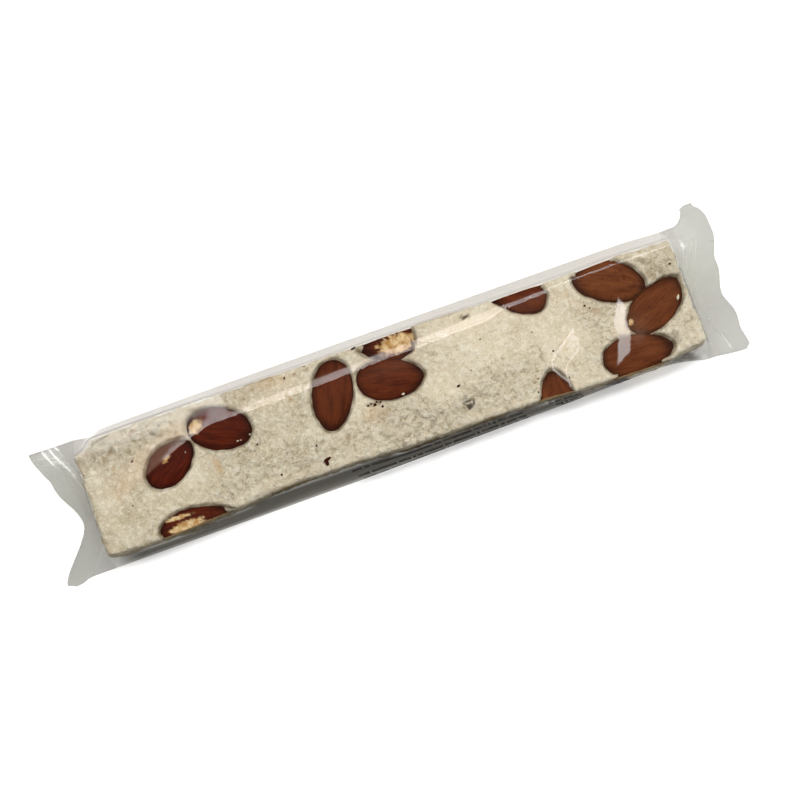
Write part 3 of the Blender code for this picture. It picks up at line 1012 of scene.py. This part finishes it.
def across_values(steps):
    even = np.linspace(-1, 1, steps + 1)
    return 0.75 * even + 0.25 * np.sin(0.5 * math.pi * even)


def lateral(across, back, front):
    return np.where(across > 0, across * back, -across * front)


def pleats(y, valley, spread, seed):
    """Folds that fan out from the valley: ridges along, with their place across set by y."""
    fan = (y - valley) / spread
    ridged = 1 - np.abs(noise(np.stack([fan, fan * 0 + seed], -1), seed))
    finer = 1 - np.abs(noise(np.stack([fan * 2.3, fan * 0 + seed], -1), seed + 1))
    return ridged**2 - 0.5 + 0.5 * (finer**2 - 0.5)


def body_sheet(above):
    """The film over or under the bar, as points (across, along, xyz)."""
    x = np.interp(np.arange(sum(BODY_STEPS) + 1), np.cumsum((0, *BODY_STEPS)), BODY_PLACES)
    x, across = np.meshgrid(x, across_values(UPPER_STEPS if above else LOWER_STEPS))
    y = lateral(across, along_points(x, BACK_CREASE), along_points(x, FRONT_CREASE))
    if not above:
        return np.stack([x, y, tube_bottom(x, y)], -1)
    inner = 1 - across**8
    height = tube_top(x, y) + 0.04 * inner * noise(np.stack([x / 30, y / 14], -1), 61)
    return np.stack([x, y, height], -1)


def end_sheet(end, above):
    """The film past one end of the bar, from the bar out to the cut edge, with taper and seal shares."""
    rows = across_values(UPPER_STEPS if above else LOWER_STEPS)
    taper = np.concatenate([np.arange(1, TAPER_STEPS + 1) / TAPER_STEPS, np.ones(SEAL_STEPS)])
    seal = np.concatenate([np.zeros(TAPER_STEPS), np.arange(1, SEAL_STEPS + 1) / SEAL_STEPS])
    taper, across = np.meshgrid(taper, rows)
    seal, _ = np.meshgrid(seal, rows)
    at_end = end.start + across * 0
    body_y = lateral(across, along_points(at_end, BACK_CREASE), along_points(at_end, FRONT_CREASE))
    widening = smooth((seal + 0.06 * taper) / end.corner)
    y = mix(body_y, lateral(across, end.back, -end.front), widening)
    bend = end.bend(y)
    taper_run = np.maximum(along_points(y, end.reach) - end.length * np.cos(bend), 1.5)
    opened = 1 - smooth(taper)
    inner = 1 - across**8
    fold = 0.18 * inner * pleats(y, end.valley, 7.0, 63 + end.side) * (1 - 0.6 * seal)
    lift = end.crimp(seal) * inner + fold * (1 - opened)
    along = taper * taper_run + seal * end.length * np.cos(bend) - lift * np.sin(bend)
    middle = CREASE_HEIGHT + seal * end.length * np.sin(bend) + lift * np.cos(bend)
    half = SEAL_HALF * inner * (1 - smooth((seal - 0.97) / 0.03))
    x = end.start + end.side * along
    if above:
        height = mix(middle + half, tube_top(at_end, body_y) + 0.5 * fold * opened, opened)
    else:
        height = mix(middle - half, tube_bottom(at_end, body_y), opened)
    sheet = np.stack([x, y, height], -1)
    return sheet, taper, seal


# Sharp creases in the film, as lines of (x, y), with the width and shine of each.
CREASES = (
    (((64.9, -1.2), (62.4, -3.1), (57.9, -5.9), (54.5, -8.7), (54.2, -11.5), (55.8, -14.3), (57.4, -16.8)), 0.45, 1.0),
    (((65.1, -3.7), (64.8, -7.0), (63.4, -8.7), (59.5, -10.9), (57.8, -13.2), (57.6, -18.6)), 0.45, 1.0),
    (((64.9, -1.2), (64.4, -4.5), (64.0, -8.0)), 0.5, 0.8),
    (((-115.7, 21.1), (-113.9, 16.9), (-111.1, 11.8), (-108.2, 5.1)), 0.35, 0.8),
    (((-113.2, 21.1), (-111.7, 17.4), (-108.8, 11.8), (-105.9, 3.4)), 0.35, 0.8),
    (((-111.0, 20.8), (-108.4, 15.8), (-105.8, 10.7)), 0.30, 0.6),
    (((-105.5, -18.6), (-109.6, -21.4), (-114.5, -23.9)), 0.35, 0.3),
    (((-105.6, -14.4), (-110.4, -18.8), (-115.2, -23.2)), 0.35, 0.3),
    (((111.2, 14.9), (111.4, 14.0)), 0.6, 0.9),
    (((110.2, -11.8), (110.4, -12.8)), 0.5, 0.9),
    (((110.7, -15.6), (113.7, -20.7), (115.3, -25.2)), 0.4, 0.6),
    (((113.5, -17.9), (114.7, -23.0)), 0.4, 0.7),
)
# Creased patches that glare: outline and shine.
GLARES = (
    (((82.9, 3.9), (80.3, 0.3), (78.4, -3.7), (78.0, -8.7), (76.6, -12.4), (74.4, -17.6), (80.0, -14.8),
      (82.6, -9.5), (82.9, -3.1), (84.2, 0.8)), 0.9),
    (((64.6, -1.5), (60.2, -5.6), (61.7, -8.9), (64.9, -7.0)), 0.6),
    (((82.6, -8.7), (85.7, -8.1), (87.4, -9.8), (85.6, -12.6), (82.8, -13.7)), 0.2),
)


def film_sheen(plan):
    """Shine of the film's creases at points in plan."""
    sheen = np.zeros(plan.shape[:-1])
    for path, width, strength in CREASES:
        sheen = np.maximum(sheen, strength * bump(path_distance(plan, path), width))
    for outline, strength in GLARES:
        away = outline_distance(plan, outline) + 0.3 * noise(plan / 1.5, 81)
        sheen = np.maximum(sheen, strength * smooth((0.4 - away) / 0.9))
    return sheen


def film_milk_and_glare(x, y, ends, seal, below):
    """How milky the film is: milky at the sealed ends and along the seam underneath, with painted highlights and glare
    along and behind the glaring fold, near it, on the creases and creased patches, and painted light and shade across
    the crimps.
    """
    start, end = along_points(x, FOLD_START), along_points(x, FOLD_END)
    # Painted reflection: milky glare behind the glaring fold, and behind its line near x = -57.
    past_fold = smooth((y - start) / 0.4) * (1 - smooth((y - start - 6) / 4)) * (1 - smooth((x + 70) / 5))
    past_fold = past_fold * smooth((x + 100) / 8)
    past_line = smooth((y - start) / 0.4) * (1 - smooth((y - start - 5) / 4)) * bump((x + 57) / 9, 1.0)
    # Painted highlight along the glaring fold's streak.
    streak = smooth((y - start) / 0.3) * smooth((end - y) / 0.4) * smooth((x + 70) / 12) * (1 - smooth((x - 60) / 4))
    # Painted glare in soft patches near the fold and over the kernels at the right.
    right_glare = bump(np.hypot((x - 52) / 13, (y - 12.5) / 4.5), 1.0) * smooth((end - y) / 0.4)
    middle_glare = bump(np.hypot((x - 5) / 9, (y - 7.8) / 2.6), 1.0)
    low_glare = bump(np.hypot((x - 84) / 5, (y + 7.5) / 4.5), 1.0)
    back_side = smooth((y - bar_back(x) + 0.4) / 0.5)
    milk_and_glare = 0.17 * past_fold + 0.04 * past_line + 0.12 * streak + 0.05 * right_glare + 0.06 * middle_glare
    milk_and_glare = milk_and_glare + 0.10 * low_glare
    seam = 0.35 * bump((y - 2) / 4.5, 1.0) ** 0.25 * below
    # Painted highlight: the creased patches that glare are made milky.
    for outline, strength in GLARES:
        milk_and_glare = milk_and_glare + 0.10 * strength * smooth((0.4 - outline_distance(np.stack([x, y], -1), outline)) / 0.9)
    milk_and_glare = milk_and_glare * (1 - below) + seam
    # Painted light and shade: pale stripes across the right seal's crimps.
    crimps = 0.5 + 0.5 * np.sin(2 * math.pi * seal * RIGHT_END.length / CRIMP_PITCH)
    crimped = (x > 0) * smooth((seal - 0.02) / 0.05) * smooth((0.52 - seal) / 0.05)
    crimped = crimped * smooth((y + 8) / 4) * smooth((17 - y) / 4)
    # The creases are whitened, partly their own whitening and partly painted highlight.
    for path, width, strength in CREASES:
        lines = strength * bump(path_distance(np.stack([x, y], -1), path), 0.7 * width)
        milk_and_glare = np.maximum(milk_and_glare, 0.4 * lines * (1 - below) * (0.5 + 0.5 * ends))
    return milk_and_glare * (1 - ends) + ends * (milk_and_glare + 0.10 + 0.06 * smooth(seal * 12) + 0.10 * crimped * crimps) + 0.05 * back_side


def film_shade_tint(x, y, ends, below):
    """Painted shade in the film: darkest on the lower half of its front side, over the bar's shadow on the floor,
    lighter along its back, and greying the sealed ends.
    """
    back_side = smooth((y - bar_back(x) + 0.4) / 0.5)
    front_side = smooth((bar_front(x) + 0.3 - y) / 0.5)
    shaded = smooth((x + 106) / 12) * (1 - smooth((x - 101) / 3.5))
    crumple_shade = bump(np.hypot((x - 99) / 5, (y + 22) / 2.5), 1.0)
    front = mix(0.30, mix(0.40, 0.88, below), shaded)
    # Painted shade in the crumpled film at the right front corner, in dark and light streaks.
    front = front + crumple_shade * (0.2 * noise(np.stack([x / 1.6, y / 1.0], -1), 91) - 0.05)
    back = 0.33 + 0.06 * (1 - smooth((x + 75) / 30))
    side = back * back_side + front * front_side
    return mix(side, np.where(x < 0, 0.43, 0.37), ends)


def add_film(material):
    sheets, seals = [], []
    for above in (True, False):
        left, _, left_seal = end_sheet(LEFT_END, above)
        right, _, right_seal = end_sheet(RIGHT_END, above)
        body = body_sheet(above)
        sheets.append(np.concatenate([left[:, ::-1], body, right], 1))
        seals.append(np.concatenate([left_seal[:, ::-1], np.zeros(body.shape[:2]), right_seal], 1))
    upper_rows = len(sheets[0])
    points = np.concatenate([sheets[0], sheets[1][-2:0:-1]])
    seal = np.concatenate([seals[0], seals[1][-2:0:-1]])
    below = np.zeros(seal.shape)
    below[upper_rows:] = 1.0
    x, y = points[..., 0], points[..., 1]
    ends = smooth((np.maximum(x - BAR_RIGHT, BAR_LEFT - x) + 0.7) / 0.9)
    front_side = smooth((bar_front(x) + 0.3 - y) / 0.5)
    shade_tint = film_shade_tint(x, y, ends, below)
    milk_and_glare = film_milk_and_glare(x, y, ends, seal, below)
    sheen = film_sheen(points[..., :2]) * (1 - below) - 0.07 * np.maximum(ends, front_side)
    keep = {"milk_and_glare": milk_and_glare, "shade_tint": np.clip(shade_tint, 0, 1), "sheen": sheen, "cool": ends}
    rows, columns = seal.shape
    index = np.arange(rows * columns).reshape(rows, columns)
    index = np.concatenate([index, index[:1]], 0)
    keep = {key: values.ravel() for key, values in keep.items()}
    film = add_mesh("film", points.reshape(-1, 3), grid_faces(index), material, keep)
    # The film casts no shadow; the shade under it is painted into its darkening instead.
    film.visible_shadow = False
    weld = film.modifiers.new("weld", "WELD")
    weld.merge_threshold = 0.004 * MM
    return film


PRINT_ROWS = ((0.70, 1.1), (0.28, 1.0), (0.06, 0.45))
PRINT_RUNS = ((-20, 41), (50.5, 61.5), (71, 78))


def add_print(material):
    """Rows of plain blocks in groups on the lower half of the film's front side."""
    points, faces = [], []
    for row, (share, tall) in enumerate(PRINT_ROWS):
        for start, end in PRINT_RUNS:
            x = start + 1.5 * row
            k = 0
            while x < end:
                pick = [float(hashed(70 + row, np.array([3 * k + start * 7 + n]))[0]) for n in range(3)]
                wide = 0.45 + 0.45 * pick[0]
                high = tall * (0.6 + 0.4 * pick[1])
                first = len(points)
                for at in (x, x + wide):
                    at = np.array([[at]])
                    front = along_points(at, FRONT_CREASE)[0, 0]
                    base = bar_front(at)[0, 0] + 0.4
                    for side in (-0.5, 0.5):
                        y = mix(front, base, share) + side * high
                        z = tube_bottom(at, np.array([[y]]))[0, 0]
                        points.append((at[0, 0], y + 0.05, z + 0.06))
                faces.append((first, first + 2, first + 3, first + 1))
                x += wide + (0.16 if pick[2] < 0.84 else 0.9)
                k += 1
    return add_mesh("print", points, faces, material)


# ---------------------------------------------------------------- stage

KEY_TILT = math.radians(15.5)
KEY_DISTANCE = 1.15
KEY_MIDDLE = -0.28
CAMERA_AZIMUTH = math.radians(-19.76)
CAMERA_ELEVATION = math.radians(83)
CAMERA_DISTANCE = 0.55
VIEW_WIDTH = 0.2689
AIM_RIGHT = 3.9 * MM
AIM_UP = -1.67 * MM


def add_floor():
    bpy.ops.mesh.primitive_plane_add(size=6.0, location=(0, 0, -0.00005))
    floor = bpy.context.object
    floor.name = "floor"
    floor.data.materials.append(floor_material())


def add_light():
    """A long soft light over the bar, a little to its back, and a room that's dim overhead."""
    world = bpy.data.worlds.new("studio")
    bpy.context.scene.world = world
    world.use_nodes = True
    nodes, links = world.node_tree.nodes, world.node_tree.links
    direction = nodes.new("ShaderNodeTexCoord")
    parts = nodes.new("ShaderNodeSeparateXYZ")
    links.new(direction.outputs["Generated"], parts.inputs[0])
    height = nodes.new("ShaderNodeMapRange")
    height.interpolation_type = "SMOOTHSTEP"
    height.inputs["From Min"].default_value = 0.15
    height.inputs["From Max"].default_value = 0.95
    height.inputs["To Min"].default_value = 0.55
    height.inputs["To Max"].default_value = 0.06
    links.new(parts.outputs["Z"], height.inputs["Value"])
    background = nodes["Background"]
    background.inputs["Color"].default_value = (1.0, 0.99, 0.97, 1.0)
    links.new(height.outputs["Result"], background.inputs["Strength"])
    above = (KEY_DISTANCE * math.sin(KEY_TILT), KEY_DISTANCE * math.cos(KEY_TILT))
    add_area("key", (KEY_MIDDLE, *above), (KEY_MIDDLE, 0.0, 0.0), 1.45, 0.23, 10.5)
    add_area("fill", (0.8, 0.15, 0.75), (0.0, 0.0, 0.0), 0.35, 0.35, 4.0)


def add_area(name, place, aim, wide, tall, watts):
    light = bpy.data.lights.new(name, "AREA")
    light.shape = "RECTANGLE"
    light.size = wide
    light.size_y = tall
    light.energy = watts
    lamp = bpy.data.objects.new(name, light)
    lamp.location = place
    lamp.rotation_euler = (Vector(aim) - Vector(place)).to_track_quat("-Z", "Y").to_euler()
    bpy.context.scene.collection.objects.link(lamp)


def add_camera():
    sin_a, cos_a = math.sin(CAMERA_AZIMUTH), math.cos(CAMERA_AZIMUTH)
    sin_e, cos_e = math.sin(CAMERA_ELEVATION), math.cos(CAMERA_ELEVATION)
    back = Vector((sin_a * cos_e, -cos_a * cos_e, sin_e))
    right = Vector((cos_a, sin_a, 0.0))
    up = back.cross(right)
    aim = Vector((0, 0, 7.35 * MM)) + AIM_RIGHT * right + AIM_UP * up
    data = bpy.data.cameras.new("camera")
    data.sensor_width = 36.0
    data.lens = data.sensor_width * CAMERA_DISTANCE / VIEW_WIDTH
    camera = bpy.data.objects.new("camera", data)
    camera.location = aim + CAMERA_DISTANCE * back
    camera.rotation_euler = back.to_track_quat("Z", "Y").to_euler()
    bpy.context.scene.collection.objects.link(camera)
    bpy.context.scene.camera = camera


# ---------------------------------------------------------------- the whole


def keep_piece(piece):
    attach(piece, "root")
    return piece


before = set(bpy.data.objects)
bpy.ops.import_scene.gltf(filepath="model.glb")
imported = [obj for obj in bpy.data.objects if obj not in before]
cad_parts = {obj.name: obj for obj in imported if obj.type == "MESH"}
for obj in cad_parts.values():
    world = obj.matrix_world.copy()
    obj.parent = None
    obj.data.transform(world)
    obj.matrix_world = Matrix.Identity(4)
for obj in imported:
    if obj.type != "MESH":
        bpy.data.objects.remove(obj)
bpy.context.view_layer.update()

nougat_finish = nougat_material()
skin_finish = almond_material()
keep_piece(add_nougat(nougat_finish))
for kernel in TOP_ALMONDS + SIDE_ALMONDS:
    keep_piece(almond_face(kernel, skin_finish))
skin_look = {"tone": 0.1, "shade": 0.5, "flesh": 0.0}
keep_piece(add_crumbs("skin_crumbs", SPECKS, skin_finish, nougat_top, skin_look))
white_look = {"tone": 1.0, "rough": 0.2}
white_height = BAR_HEIGHT - 0.15
keep_piece(
    add_crumbs("nougat_crumbs", WHITE_CRUMBS, nougat_finish, lambda x, y: white_height, white_look)
)
film_piece = keep_piece(add_film(film_material()))
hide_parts("sealed_pack")
keep_piece(add_print(print_material()))

add_floor()
add_light()
add_camera()
bpy.context.scene.view_settings.view_transform = "Standard"
